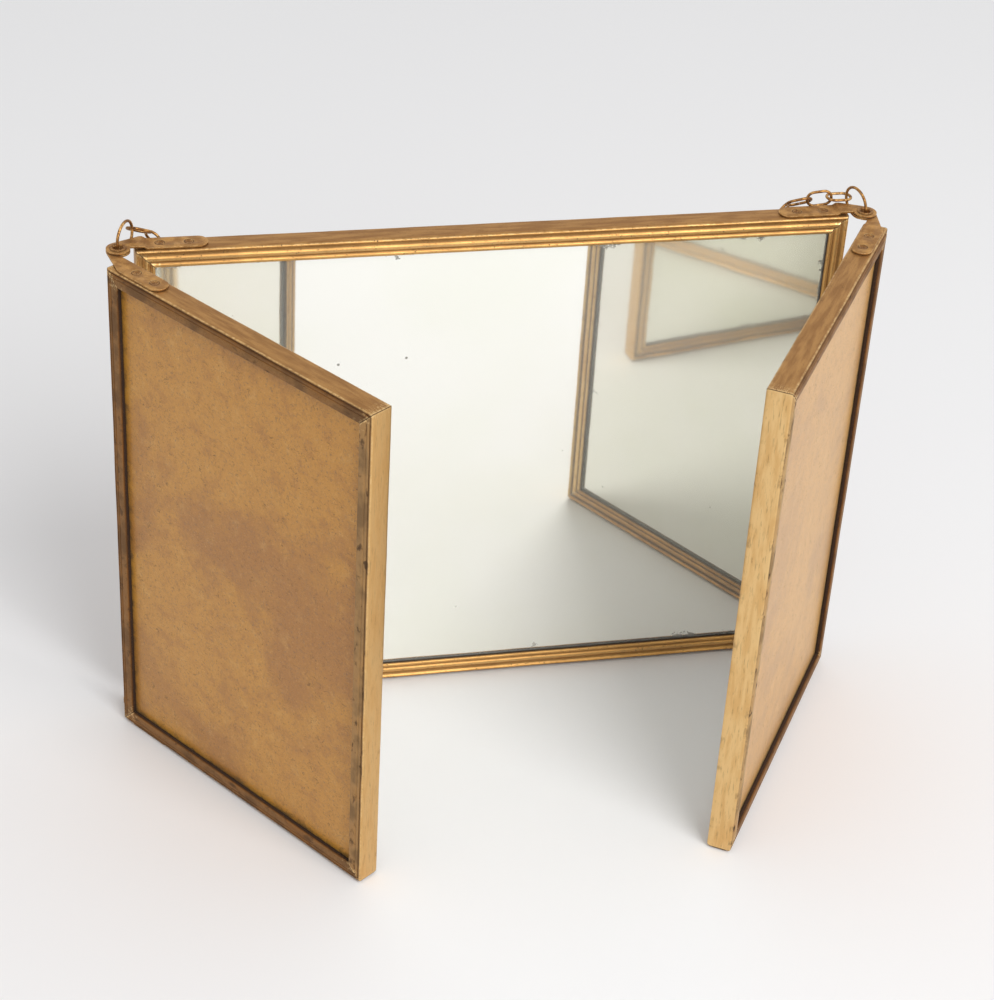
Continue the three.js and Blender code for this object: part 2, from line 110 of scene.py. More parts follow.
# Section of a rail in mm, [inward from the outer edge, back from the front]
RAIL_SECTION = (
    (0, 1), (0.25, 0.25), (0.6, 0), (1, 0.15), (1.4, 0.7), (2.4, 0.75), (2.8, 0.3),
    (3.5, 0.1), (4.2, 0.3), (4.5, 0.75), (4.9, 0.75), (5.2, 0.35), (5.8, 0.15),
    (6.3, 0.35), (6.5, 0.8), (6.5, 1.9), (5.9, 1.9), (5.9, 1.35), (0.6, 1.35),
    (0.6, 7.7), (2.2, 7.7), (2.5, 8.4), (4.6, 8.4), (4.6, 7), (5.2, 7), (5.2, 8.75),
    (4.95, 9), (2.6, 9), (2.35, 8.65), (2.15, 8.65), (1.95, 8.9), (1.3, 8.9),
    (1.1, 8.35), (0.9, 8.35), (0.7, 8.65), (0.35, 8.65), (0, 8.2),
)
# In mm: the section's soft bends, the stations near a mitre, and the bent sheet's waves
SECTION_BEND = 0.34
MITRE_STATIONS = (0, 0.12, 0.35, 0.8, 1.6, 3, 5)
MITRE_REACH = 7
STATION_STEP = 3.5
DRIFT_WAVE = 23
DENT_LENGTH, DENT_WIDTH = 5, 2.5

# How browned each rail is; hands rub the free rails bright
TARNISH = {"top": 0.62, "bottom": 0.50, "left": 0.45, "right": 0.45, "hinge": 0.45}
FREE_TARNISH = {"left_wing": -0.08, "right_wing": -0.22}
# Share of the lighter front finish kept on the wings; kept low, it paints shade on the wing
# fronts
SHADED_WING_FRONT_SHARE = 0.15

# Sheets in mm: margin inside the frame, depth behind its front, bow, and a seed for ripples
SHEETS = {
    "mirror": {"margin": 3, "back": 2.1, "thickness": 2, "bow": 0.0, "ripple": 14},
    "packing_card": {"margin": 1.6, "back": 4.3, "thickness": 1, "bow": 0.12, "ripple": 10},
    "back_board": {"margin": 1.6, "back": 5.5, "thickness": 1.3, "bow": 0.15, "ripple": 13},
}

# Gap in mm between pieces that lie on each other
FIT = 0.1

# Hinges in mm, with stations along a panel from its pivot, and EYE_TANGENT in degrees
CENTRE_RIVETS = (13.9, 23.5)
WING_RIVETS = (15.7, 24.5)
CENTRE_STRAP_END = 29.9
WING_STRAP_END = 29.5
TOP_JOGGLE = (8.2, 9.8)
BOTTOM_JOGGLE = (4.15, 5.3)
EYE_TANGENT = 114
BARREL_RADIUS = 2.05
FLANGE_RADIUS = 2.8
RIVET_HOLE = 1.72
STRAP_BEVEL = 0.13

# Poses of the chain's pieces in degrees; a link's are its azimuth, rise and roll
LEFT_RING = {"azimuth": 59.5, "rise": 24.7, "lean": 1.0, "hook": 6.2}
RIGHT_RING = {"azimuth": 70.5, "rise": 19.2, "lean": 6.3, "hook": -2.3}
FIRST_LINK = (22.7, -25.1, -30.5)
SHOULDER_LINK = (181.3, 1.1, 0)
EDGE_LINK = (173.8, -8.9, 0)
LAST_LINK = (169.2, -15.7, 44.1)
RING_SEAM = 100

# Links in mm, and how many hang between the first and the last
HOOK_REACH = 2.8
LINK_HALF_STRAIGHT = 1.7
LINK_PITCH = 7.85
DRAPED_LINKS = 35

# Stage in metres, degrees and watts; seen daylight is added for the camera and reflections
TABLE_RADIUS = 3.6
TABLE_CURL = 1.2
DAYLIGHT = 0.69
SEEN_DAYLIGHT = 0.28
WINDOW_SPOT = (0.60, -1.30, 1.42)
WINDOW_TARGET = (0, 0, 0.05)
WINDOW_SIZE = 1.3
WINDOW_POWER = 24.0
WINDOW_COLOUR = (1.0, 0.995, 0.985)
CAMERA_SPOT = (-0.171098, -0.677818, 0.578188)
CAMERA_LENS = 89.545
CAMERA_PITCH, CAMERA_YAW, CAMERA_ROLL = 33.777, 13.536, 3.583


# ------------------------------------------------------------------ settings


class PanelSettings(bpy.types.PropertyGroup):
    centre_width: FloatProperty(
        name="Centre width", description="Outside width of the centre frame",
        default=BOTTOM_RAIL[1].x - BOTTOM_RAIL[0].x + FIT * MM, unit="LENGTH")
    wing_width: FloatProperty(
        name="Wing width", description="Outside width of each wing's frame",
        default=0.122, unit="LENGTH")
    height: FloatProperty(
        name="Height", description="Outside height of all three frames",
        default=TOP_RAIL[1].z - BOTTOM_RAIL[0].z, unit="LENGTH")
    depth: FloatProperty(
        name="Depth", description="Thickness of a frame from front to back",
        default=BOTTOM_RAIL[1].y - BOTTOM_RAIL[0].y, unit="LENGTH")
    foot: FloatProperty(
        name="Foot", description="Height of a frame's underside above the table",
        default=BOTTOM_RAIL[0].z, unit="LENGTH")
    left_opening: FloatProperty(
        name="Left opening", description="How far the left wing stands open from shut",
        default=math.radians(54.3), subtype="ANGLE")
    right_opening: FloatProperty(
        name="Right opening", description="How far the right wing stands open from shut",
        default=math.radians(57.3), subtype="ANGLE")
    unevenness: FloatProperty(
        name="Unevenness", description="How far the bent brass wanders from straight",
        default=0.00012, unit="LENGTH")


class HingeSettings(bpy.types.PropertyGroup):
    outboard: FloatProperty(
        name="Pivot outboard", description="Pivot's distance beyond the end of the frame",
        default=0.0055, unit="LENGTH")
    behind_face: FloatProperty(
        name="Pivot behind face", description="Pivot's distance behind the centre's front",
        default=0.0005, unit="LENGTH")
    wing_face: FloatProperty(
        name="Wing face", description="Pivot's distance from the shut wing's mirror side",
        default=0.001, unit="LENGTH")
    strap_width: FloatProperty(
        name="Strap width", description="Width of the brass hinge straps",
        default=0.0072, unit="LENGTH")
    strap_thickness: FloatProperty(
        name="Strap thickness", description="Thickness of the brass hinge straps",
        default=0.0007, unit="LENGTH")
    eye_radius: FloatProperty(
        name="Eye radius", description="Outer radius of a strap's round eye",
        default=0.004, unit="LENGTH")


class ChainSettings(bpy.types.PropertyGroup):
    wire_radius: FloatProperty(
        name="Wire radius", description="Radius of the chain's wire",
        default=0.0005, unit="LENGTH")
    ring_radius: FloatProperty(
        name="Ring radius", description="Radius of the end rings at the wire's middle",
        default=0.0055, unit="LENGTH")
    bend_radius: FloatProperty(
        name="Link bend radius", description="Radius of a link's round ends",
        default=0.0026, unit="LENGTH")


class FinishSettings(bpy.types.PropertyGroup):
    rubbed: FloatVectorProperty(
        name="Rubbed brass", description="Colour of bare brass on edges and corners",
        default=(0.80, 0.55, 0.255), subtype="COLOR")
    brass: FloatVectorProperty(
        name="Brass", description="Colour of the brass where it is handled",
        default=(0.62, 0.345, 0.115), subtype="COLOR")
    patina: FloatVectorProperty(
        name="Patina", description="Colour of the browned brass",
        default=(0.25, 0.112, 0.034), subtype="COLOR")
    # This colour also paints shade on the rails' inner walls and where parts are tucked together
    grime: FloatVectorProperty(
        name="Grime", description="Colour of the dirt in the grooves",
        default=(0.026, 0.014, 0.009), subtype="COLOR")
    board: FloatVectorProperty(
        name="Board", description="Colour of the backing board",
        default=(0.50, 0.212, 0.010), subtype="COLOR")
    board_stain: FloatVectorProperty(
        name="Board stain", description="Colour of the stains on the backing board",
        default=(0.35, 0.126, 0.005), subtype="COLOR")
    glass: FloatVectorProperty(
        name="Mirror", description="Tint of the silvered glass",
        default=(0.955, 0.95, 0.895), subtype="COLOR")
    # This colour also paints the shade line on the glass along the frame's inner edge
    foxing: FloatVectorProperty(
        name="Foxing", description="Colour of the dark spots in the silvering",
        default=(0.055, 0.045, 0.030), subtype="COLOR")
    table: FloatVectorProperty(
        name="Table", description="Colour of the pale table",
        default=(0.86, 0.86, 0.87), subtype="COLOR")


def settings(name):
    return getattr(bpy.context.scene, "triptych_" + name)


def mm(length):
    return length / MM


# ------------------------------------------------------------------ shader expressions


class Ink:
    """A socket in a node tree; arithmetic on it adds Math nodes."""

    def __init__(self, shop, socket):
        self.shop = shop
        self.socket = socket

    def _math(self, operation, *values):
        return self.shop.add("ShaderNodeMath", {"operation": operation}, list(values))

    def __add__(self, other):
        return self._math("ADD", self, other)

    __radd__ = __add__

    def __sub__(self, other):
        return self._math("SUBTRACT", self, other)

    def __rsub__(self, other):
        return self._math("SUBTRACT", other, self)

    def __mul__(self, other):
        return self._math("MULTIPLY", self, other)

    __rmul__ = __mul__

    def __or__(self, other):
        """The larger of two values."""
        return self._math("MAXIMUM", self, other)

    __ror__ = __or__

    def __abs__(self):
        return self._math("ABSOLUTE", self)

    def clamped(self):
        return self.shop.add("ShaderNodeClamp", {}, {"Value": self})

    def ramp(self, low, high, start=0.0, end=1.0):
        """Smooth step of this value from low to high, giving start to end."""
        return self.shop.add(
            "ShaderNodeMapRange", {"interpolation_type": "SMOOTHSTEP"},
            {"Value": self, "From Min": low, "From Max": high, "To Min": start, "To Max": end})


class Shop:
    """Adds nodes to one node tree."""

    def __init__(self, tree, output):
        self.tree = tree
        self.tree.nodes.clear()
        self.output = self.tree.nodes.new(output)

    def add(self, kind, options=None, values=None, out=0):
        node = self.tree.nodes.new(kind)
        for key, value in (options or {}).items():
            setattr(node, key, value)
        pairs = enumerate(values) if isinstance(values, list) else (values or {}).items()
        for key, value in pairs:
            self.feed(node.inputs[key], value)
        return Ink(self, node.outputs[out])

    def feed(self, socket, value):
        if isinstance(value, Ink):
            self.tree.links.new(value.socket, socket)
        elif socket.type == "RGBA":
            socket.default_value = (*value, 1.0)
        else:
            socket.default_value = value

    def attribute(self, name, out="Fac"):
        return self.add("ShaderNodeAttribute", {"attribute_name": name}, out=out)

    def place(self):
        """Place on the piece in millimetres."""
        spot = self.add("ShaderNodeTexCoord", out="Object")
        return self.add(
            "ShaderNodeVectorMath", {"operation": "SCALE"}, {"Vector": spot, "Scale": 1 / MM})

    def stretched(self, vector, scale):
        return self.add(
            "ShaderNodeVectorMath", {"operation": "MULTIPLY"}, [vector, scale])

    def noise(self, vector, scale, detail, roughness, distortion=0.0):
        return self.add("ShaderNodeTexNoise", {}, {
            "Vector": vector, "Scale": scale, "Detail": detail,
            "Roughness": roughness, "Distortion": distortion})

    def cells(self, vector, scale, out="Distance"):
        return self.add(
            "ShaderNodeTexVoronoi", {}, {"Vector": vector, "Scale": scale}, out=out)

    def shelter(self, reach):
        """Painted shade: 1 where the surface is tucked close under or beside another, 0 in the
        open.
        """
        occlusion = self.add(
            "ShaderNodeAmbientOcclusion", {"samples": 8}, {"Distance": reach * MM}, out="AO")
        return 1 - occlusion

    def mix(self, factor, first, second):
        return self.add(
            "ShaderNodeMix", {"data_type": "RGBA"}, {0: factor, 6: first, 7: second}, out=2)

    def bump(self, height, distance):
        return self.add("ShaderNodeBump", {}, {"Height": height, "Distance": distance * MM})

    def finish(self, shader):
        self.tree.links.new(shader.socket, self.output.inputs["Surface"])


def finished_material(finish):
    """Material named after its finish, a function that gives its surface shader's values."""
    name = finish.__name__
    if name not in bpy.data.materials:
        material = bpy.data.materials.new(name)
        material.use_nodes = True
        shop = Shop(material.node_tree, "ShaderNodeOutputMaterial")
        shop.finish(shop.add("ShaderNodeBsdfPrincipled", {}, finish(shop)))
    return bpy.data.materials[name]


# ------------------------------------------------------------------ finishes


def aged(shop, brown, rubbed, grime):
    """Colour of brass that is browned, rubbed bare, then dirtied and painted with shade, each by
    its share.
    """
    finish = settings("finish")
    colour = shop.mix(brown, finish.brass, finish.patina)
    colour = shop.mix(rubbed, colour, finish.rubbed)
    return shop.mix(grime, colour, finish.grime)


def rolled_brass(shop):
    """Rolled brass rail: browned flats, dark grooves, painted shade on the inner walls, rubbed
    ridges, edges and corners.
    """
    along = shop.attribute("along", out="Vector")
    depth, edge, corner, tarnish, behind, front = (
        shop.attribute(name)
        for name in ("depth", "edge", "corner", "tarnish", "behind", "front"))
    cloud = shop.noise(shop.stretched(along, (0.07, 0.09, 1.0)), 1.0, 4.0, 0.55)
    streak = shop.noise(shop.stretched(along, (0.035, 2.0, 1.0)), 1.0, 4.0, 0.55, 0.1)
    speck = shop.noise(along, 1.4, 6.0, 0.68)
    nick = shop.noise(along, 0.6, 5.0, 0.7)
    patch = shop.noise(shop.stretched(along, (0.18, 0.30, 1.0)), 1.0, 4.0, 0.62, 0.4)
    handled = (0.10 - tarnish).clamped()
    brown = (
        cloud.ramp(0.36, 0.64) * 0.34 + streak.ramp(0.36, 0.66) * 0.05
        + tarnish * 0.95 + behind * 1.05 - front * 0.50 - 0.15).clamped()
    lined = speck.ramp(0.30, 0.50, 0.55, 1.0) * (1 - front * 0.62)
    groove = depth.ramp(0.42, 0.78) * lined
    # Painted shade: parts of the section deeper than 1 mm, the lips' inner walls, go dark as
    # their hollow is shaded
    wall = depth.ramp(1.0, 1.4)
    spots = speck.ramp(0.56, 0.66) * patch.ramp(0.42, 0.60) * (0.35 + tarnish)
    bruise = patch.ramp(0.54, 0.70) * (0.10 + behind * 0.55 + handled * 0.7)
    seam = corner.ramp(0.03, 0.22, 1.0, 0.0)
    dust = behind * cloud.ramp(0.42, 0.62) * 0.45
    grime = (groove | wall | spots | bruise | dust | seam * 0.8).clamped()
    arris = edge.ramp(0.15, 0.62, 1.0, 0.0) * nick.ramp(0.36, 0.66, 0.15, 0.85)
    mitre = corner.ramp(0.25, 1.3, 1.0, 0.0) * nick.ramp(0.40, 0.54) * (1 - seam)
    tip = corner.ramp(1.2, 5.5, 1.0, 0.0) * nick.ramp(0.50, 0.60) * speck.ramp(0.40, 0.55)
    ridge = depth.ramp(0.04, 0.30, 1.0, 0.0) * edge.ramp(1.1, 1.8) * (1 - behind * 0.8)
    crest = ridge * speck.ramp(0.36, 0.56, 0.3, 1.0) * cloud.ramp(0.34, 0.56, 0.45, 1.0)
    bare = handled * cloud.ramp(0.36, 0.60, 1.2, 2.6)
    rubbed = ((arris | mitre | tip | crest * 0.9 | bare) * (1 - grime * 0.85)).clamped()
    rough = 0.36 + grime * 0.38 + brown * 0.14 + speck * 0.12 - rubbed * 0.14
    dents = speck * 0.35 + nick * 0.30 - grime * 0.20
    return {
        "Base Color": aged(shop, brown, rubbed, grime * 0.93),
        "Metallic": (0.98 - grime * 0.70 - brown * 0.08).clamped(),
        "Roughness": rough.clamped(),
        "Normal": shop.bump(dents, 0.16),
    }


def punched_brass(shop):
    """Flat punched strap: brown with a rubbed rim, dark spots, and painted shade round the rivets
    and where parts overlap.
    """
    place = shop.place()
    edge = shop.attribute("edge")
    cloud = shop.noise(place, 0.26, 6.0, 0.62)
    speck = shop.noise(place, 1.3, 6.0, 0.68)
    scratch = shop.noise(shop.stretched(place, (0.35, 3.5, 0.35)), 1.0, 4.0, 0.6, 1.2)
    # Painted shade from ambient occlusion, darkest where the strap is tucked against other parts
    painted_shade = shop.shelter(1.1).ramp(0.18, 0.60)
    brown = (cloud.ramp(0.34, 0.62) * 0.55 + scratch.ramp(0.38, 0.62) * 0.2 + 0.12).clamped()
    grime = (painted_shade * (0.3 + speck) | speck.ramp(0.60, 0.70) * 0.7).clamped()
    rubbed = (edge * speck.ramp(0.42, 0.58) * 0.8 | scratch.ramp(0.62, 0.74) * 0.4).clamped()
    return {
        "Base Color": aged(shop, brown, rubbed * 0.8, grime * 0.92),
        "Metallic": (0.93 - grime * 0.7).clamped(),
        "Roughness": (0.42 + grime * 0.35 + speck * 0.16 - rubbed * 0.10).clamped(),
        "Normal": shop.bump(speck * 0.7 + scratch * 0.4, 0.12),
    }


def struck_brass(shop):
    """Riveted heads: painted shade in the dimple and round the rim, dark spots, bright where they
    were struck.
    """
    place = shop.place()
    speck = shop.noise(place, 2.2, 5.0, 0.65)
    cloud = shop.noise(place, 0.6, 3.0, 0.5)
    # Painted shade from ambient occlusion in the dimple and round the rim
    painted_shade = shop.shelter(0.7).ramp(0.05, 0.28)
    grime = (painted_shade | speck.ramp(0.54, 0.66) * 0.85).clamped()
    brown = cloud.ramp(0.30, 0.60, 0.45, 1.0)
    struck = speck.ramp(0.44, 0.34) * 0.6
    return {
        "Base Color": aged(shop, brown, struck, grime * 0.92),
        "Metallic": (0.92 - grime * 0.65).clamped(),
        "Roughness": (0.42 + grime * 0.35 + speck * 0.12).clamped(),
        "Normal": shop.bump(speck, 0.08),
    }


def drawn_brass(shop):
    """Drawn wire: gold in patches, brown and dark-spotted elsewhere, with painted shade where it
    is tucked against other parts.
    """
    place = shop.place()
    speck = shop.noise(place, 1.8, 5.0, 0.65)
    cloud = shop.noise(place, 0.42, 3.0, 0.5)
    # Painted shade from ambient occlusion where the wire is tucked against other parts
    painted_shade = shop.shelter(0.8).ramp(0.12, 0.50)
    brown = (cloud.ramp(0.38, 0.60) * 0.8 + speck.ramp(0.4, 0.6) * 0.3).clamped()
    grime = (painted_shade * 0.7 | speck.ramp(0.53, 0.64) * 0.9).clamped()
    gold = cloud.ramp(0.42, 0.34) * 0.8
    return {
        "Base Color": aged(shop, brown, gold, grime * 0.88),
        "Metallic": (0.95 - grime * 0.6).clamped(),
        "Roughness": (0.36 + grime * 0.35 + speck * 0.1).clamped(),
        "Normal": shop.bump(speck, 0.06),
    }


def silvered_glass(shop):
    """Silvered glass: clean middle, foxing spots, silvering darkened towards the rim, and a
    painted shade line along the frame's inner edge.
    """
    finish = settings("finish")
    place = shop.attribute("along", out="Vector")
    rim = shop.attribute("rim")
    blur = shop.noise(place, 0.5, 6.0, 0.7)
    creep = shop.noise(place, 0.07, 6.0, 0.68)
    spot = shop.cells(place, 0.085)
    chance = shop.cells(place, 0.085, out="Color")
    pick = shop.add("ShaderNodeSeparateColor", {}, {"Color": chance}, out=0)
    dots = (spot + blur * 0.05).ramp(0.05, 0.09, 1.0, 0.0) * pick.ramp(0.86, 0.88)
    border = (rim - creep.ramp(0.54, 0.76) * 5.0 - blur * 1.2).ramp(2.6, 3.5, 1.0, 0.0)
    border = border * blur.ramp(0.40, 0.58) * 0.8
    # Painted shade and reflection of the frame lip: a dark line on the glass along the frame's
    # inner edge
    lip_shade_line = rim.ramp(3.2, 4.2, 1.0, 0.0) * 0.75
    foxing_and_shade_mask = (border | lip_shade_line | dots * 0.8).clamped()
    haze = shop.noise(place, 0.02, 3.0, 0.5)
    yellowed = (0.92, 0.925, 0.835)
    tint = shop.mix(haze.ramp(0.35, 0.7) * 0.6, finish.glass, yellowed)
    return {
        "Base Color": shop.mix(foxing_and_shade_mask * 0.92, tint, finish.foxing),
        "Metallic": (0.83 - foxing_and_shade_mask * 0.7).clamped(),
        "Roughness": (0.03 + foxing_and_shade_mask * 0.35 + blur.ramp(0.5, 0.8) * 0.02).clamped(),
        "Normal": shop.bump(haze, 0.02),
    }


def pressed_board(shop):
    """Pressed brown board: fibres, mottling, stains and a faint sheen."""
    finish = settings("finish")
    place = shop.attribute("along", out="Vector")
    rim = shop.attribute("rim")
    stain = shop.noise(place, 0.016, 6.0, 0.66, 0.6)
    mottle = shop.noise(place, 0.14, 6.0, 0.72)
    grain = shop.noise(place, 0.9, 5.0, 0.75)
    fleck = shop.noise(place, 2.4, 3.0, 0.7)
    gate = shop.noise(place, 0.33, 3.0, 0.6)
    curl = shop.noise(place, 0.42, 2.5, 0.55, 0.9)
    sweep = shop.noise(shop.stretched(place, (1.0, 0.45, 1.0)), 0.6, 2.5, 0.6, 1.6)
    hair = abs(curl - 0.5).ramp(0.004, 0.022, 1.0, 0.0) * gate.ramp(0.52, 0.60)
    fibre = abs(sweep - 0.52).ramp(0.004, 0.02, 1.0, 0.0) * gate.ramp(0.50, 0.42)
    dark = (0.17, 0.075, 0.020)
    pale = (0.68, 0.39, 0.105)
    straw = (0.80, 0.56, 0.26)
    dirt = (0.085, 0.045, 0.020)
    colour = shop.mix(stain.ramp(0.44, 0.62) * 0.9, finish.board, finish.board_stain)
    colour = shop.mix(mottle.ramp(0.46, 0.30) * 0.25, colour, pale)
    colour = shop.mix(mottle.ramp(0.50, 0.64) * 0.55, colour, finish.board_stain)
    colour = shop.mix(grain.ramp(0.54, 0.66) * 0.65, colour, dark)
    colour = shop.mix(grain.ramp(0.44, 0.32) * 0.30, colour, pale)
    colour = shop.mix((hair * 0.75 | fibre * 0.55).clamped(), colour, dark)
    colour = shop.mix(fleck.ramp(0.64, 0.72) * 0.5, colour, straw)
    smudge = (rim - mottle * 7.0).ramp(-0.5, 2.2, 1.0, 0.0) * gate.ramp(0.40, 0.62) * 0.75
    colour = shop.mix(smudge, colour, dirt)
    height = mottle * 0.4 + grain * 0.5 - hair * 0.4 - fibre * 0.3
    return {
        "Base Color": colour,
        "Roughness": (0.40 + mottle * 0.14 + hair * 0.15).clamped(),
        "Specular IOR Level": 0.28,
        "Sheen Weight": 0.45,
        "Sheen Roughness": 0.45,
        "Sheen Tint": (1.0, 0.75, 0.40),
        "Coat Weight": (0.60 - hair * 0.3 - smudge * 0.5).clamped(),
        "Coat Roughness": 0.28,
        "Normal": shop.bump(height, 0.10),
    }


def strawboard(shop):
    """Grey-brown strawboard behind the glass."""
    place = shop.attribute("along", out="Vector")
    straw = shop.noise(shop.stretched(place, (0.5, 2.4, 1.0)), 1.0, 4.0, 0.7, 1.5)
    mottle = shop.noise(place, 0.3, 5.0, 0.65)
    colour = shop.mix(mottle.ramp(0.35, 0.65), (0.32, 0.23, 0.13), (0.22, 0.15, 0.08))
    colour = shop.mix(straw.ramp(0.60, 0.72) * 0.6, colour, (0.45, 0.34, 0.19))
    return {
        "Base Color": colour,
        "Roughness": (0.85 + straw * 0.1).clamped(),
        "Normal": shop.bump(straw, 0.08),
    }


def table_paper(shop):
    """Smooth pale paper under the mirror."""
    place = shop.place()
    tooth = shop.noise(place, 0.8, 4.0, 0.6)
    drift = shop.noise(place, 0.004, 2.0, 0.5)
    table = settings("finish").table
    return {
        "Base Color": shop.mix(drift, table, [part * 0.985 for part in table]),
        "Roughness": (0.62 + tooth * 0.1).clamped(),
        "Specular IOR Level": 0.25,
        "Normal": shop.bump(tooth, 0.01),
    }


# Each finish's slot in the record and the ending of its pieces' names
FINISHES = {
    rolled_brass: ("frame_brass", "brass"),
    punched_brass: ("strap_brass", "brass"),
    struck_brass: ("rivet_brass", "brass"),
    drawn_brass: ("chain_brass", "brass"),
    silvered_glass: ("mirror_glass", "glass"),
    strawboard: ("packing_card", "card"),
    pressed_board: ("back_board", "board"),
}


# ------------------------------------------------------------------ shaping tools


def rounded(points, radius, steps):
    """Closed outline with each corner turned into a short curve."""
    result = []
    for i, point in enumerate(points):
        corner = Vector(point)
        before = Vector(points[i - 1]) - corner
        after = Vector(points[(i + 1) % len(points)]) - corner
        reach = min(radius, before.length * 0.45, after.length * 0.45)
        start = corner + before.normalized() * reach
        end = corner + after.normalized() * reach
        for k in range(steps + 1):
            t = k / steps
            result.append(start * (1 - t) ** 2 + corner * 2 * t * (1 - t) + end * t * t)
    return result


def arc(centre, radius, start, end, steps):
    """Points round a centre from one angle to another, in degrees."""
    angles = [math.radians(start + (end - start) * k / steps) for k in range(steps + 1)]
    return [
        Vector((centre[0] + radius * math.cos(a), centre[1] + radius * math.sin(a)))
        for a in angles
    ]


def hole(centre, radius):
    """Round hole, clockwise."""
    return arc(centre, radius, 360, 0, 40)[:-1]


def moved_in(loop, distance):
    """Closed loop moved to the left of its own direction."""
    result = []
    for i, here in enumerate(loop):
        way = (loop[(i + 1) % len(loop)] - loop[i - 1]).normalized()
        result.append(here + Vector((-way.y, way.x)) * distance)
    return result


def turns(count):
    """Angles evenly round a circle."""
    return [math.tau * k / count for k in range(count)]


def skin(shape, rings):
    """Faces between closed rings, one list for each gap."""
    return [
        [
            shape.faces.new((lower[i - 1], lower[i], upper[i], upper[i - 1]))
            for i in range(len(lower))
        ]
        for lower, upper in zip(rings, rings[1:])
    ]


def plate(outline, holes, thickness, bevel):
    """Flat plate on z 0, outline anticlockwise, holes clockwise, edges softened."""
    shape = bmesh.new()
    edge = shape.faces.layers.float.new("edge")
    levels = ((0, bevel), (bevel * 0.3, bevel * 0.3), (bevel, 0))
    levels += tuple((thickness - z, inset) for z, inset in reversed(levels))
    rims = []
    for loop in (outline, *holes):
        rings = [
            [shape.verts.new((*point, z)) for point in moved_in(loop, inset)]
            for z, inset in levels
        ]
        wall = len(levels) // 2 - 1
        for row, faces in enumerate(skin(shape, rings)):
            for face in faces:
                face[edge] = 0.0 if row == wall else 1.0
        rims.append(rings)
    for level in (0, -1):
        rim = [vertex for rings in rims for vertex in rings[level]]
        for corners in tessellate_polygon([[v.co for v in rings[level]] for rings in rims]):
            shape.faces.new([rim[i] for i in corners])
    return shape


def lathe(profile, segments, closed=False):
    """Profile of (radius, height) turned round the z axis."""
    shape = bmesh.new()
    rings = []
    for radius, height in profile:
        if radius < 1e-6:
            rings.append([shape.verts.new((0, 0, height))])
            continue
        rings.append([
            shape.verts.new((radius * math.cos(a), radius * math.sin(a), height))
            for a in turns(segments)
        ])
    if closed:
        rings.append(rings[0])
    for lower, upper in zip(rings, rings[1:]):
        for i in range(segments):
            ends = ((lower, i - 1), (lower, i), (upper, i), (upper, i - 1))
            corners = dict.fromkeys(ring[k % len(ring)] for ring, k in ends)
            shape.faces.new(list(corners))
    return shape


def bent_wire(shape, path, flat, radius, sides):
    """Wire along an open planar path whose two ends butt together."""
    rings = []
    last = len(path) - 1
    for i, point in enumerate(path):
        way = (path[min(i + 1, last)] - path[max(i - 1, 0)]).normalized()
        out = way.cross(flat)
        rings.append([
            shape.verts.new(point + (out * math.cos(a) + flat * math.sin(a)) * radius)
            for a in turns(sides)
        ])
    skin(shape, rings)
    for ring in (rings[0], rings[-1]):
        shape.faces.new(ring)


def cut_across(shape, axis, stations):
    """Extra edges across a shape at the given stations."""
    normal = [0, 0, 0]
    normal[axis] = 1
    for station in stations:
        point = [0, 0, 0]
        point[axis] = station
        geometry = shape.verts[:] + shape.edges[:] + shape.faces[:]
        bmesh.ops.bisect_plane(shape, geom=geometry, dist=1e-4, plane_co=point, plane_no=normal)


def vertex_values(mesh, name, values, kind="FLOAT"):
    """Gives a mesh a value at each vertex for its finish to read."""
    layer = mesh.attributes.new(name, kind, "POINT")
    if kind == "FLOAT":
        layer.data.foreach_set("value", values)
    else:
        layer.data.foreach_set("vector", [c for value in values for c in value])


def smooth_mesh(name, shape, finish):
    """Smooth mesh in its finish, made from a shape that is used up."""
    mesh = bpy.data.meshes.new(name)
    shape.to_mesh(mesh)
    shape.free()
    mesh.shade_smooth()
    mesh.materials.append(finished_material(finish))
    return mesh


def add_object(name, data):
    holder = bpy.data.objects.new(name, data)
    bpy.context.scene.collection.objects.link(holder)
    return holder


def add_piece(node, shape, place, finish, sharp=35):
    """Turns a shape in millimetres into a piece that stands for a node."""
    slot, ending = FINISHES[finish]
    name = f"{node}.{ending}"
    bmesh.ops.recalc_face_normals(shape, faces=shape.faces)
    mesh = smooth_mesh(name, shape, finish)
    mesh.transform(Matrix.Scale(MM, 4) @ place)
    if place.determinant() < 0:
        mesh.flip_normals()
    mesh.set_sharp_from_angle(angle=math.radians(sharp))
    piece = add_object(name, mesh)
    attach(piece, frame["nodes"][node]["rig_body"])
    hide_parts(node)
    return piece


# ------------------------------------------------------------------ places


def pivot_place(hand, on_wing):
    """Frame at a pivot on the table, x along its panel and y to its back, in millimetres."""
    panel, hinge = settings("panel"), settings("hinge")
    side = HANDS[hand]
    opening = panel.left_opening if hand == "left" else panel.right_opening
    turn = -side * (math.pi - opening) if on_wing else 0
    spot = (
        side * mm(panel.centre_width / 2 + hinge.outboard),
        FRONT + mm(hinge.behind_face),
        0,
    )
    return Matrix.Translation(spot) @ Matrix.Rotation(turn, 4, "Z")


def panel_place(name):
    """Frame of a panel: left front lower corner seen from its mirror side, in millimetres."""
    panel, hinge = settings("panel"), settings("hinge")
    foot = mm(panel.foot)
    if name == "centre":
        return Matrix.Translation((-mm(panel.centre_width) / 2, FRONT, foot))
    hand = name.split("_")[0]
    outboard = mm(hinge.outboard)
    left = outboard if hand == "right" else -outboard - mm(panel.wing_width)
    return pivot_place(hand, True) @ Matrix.Translation((left, mm(hinge.wing_face), foot))


def panel_width(name):
    panel = settings("panel")
    return mm(panel.centre_width if name == "centre" else panel.wing_width)


# ------------------------------------------------------------------ frames


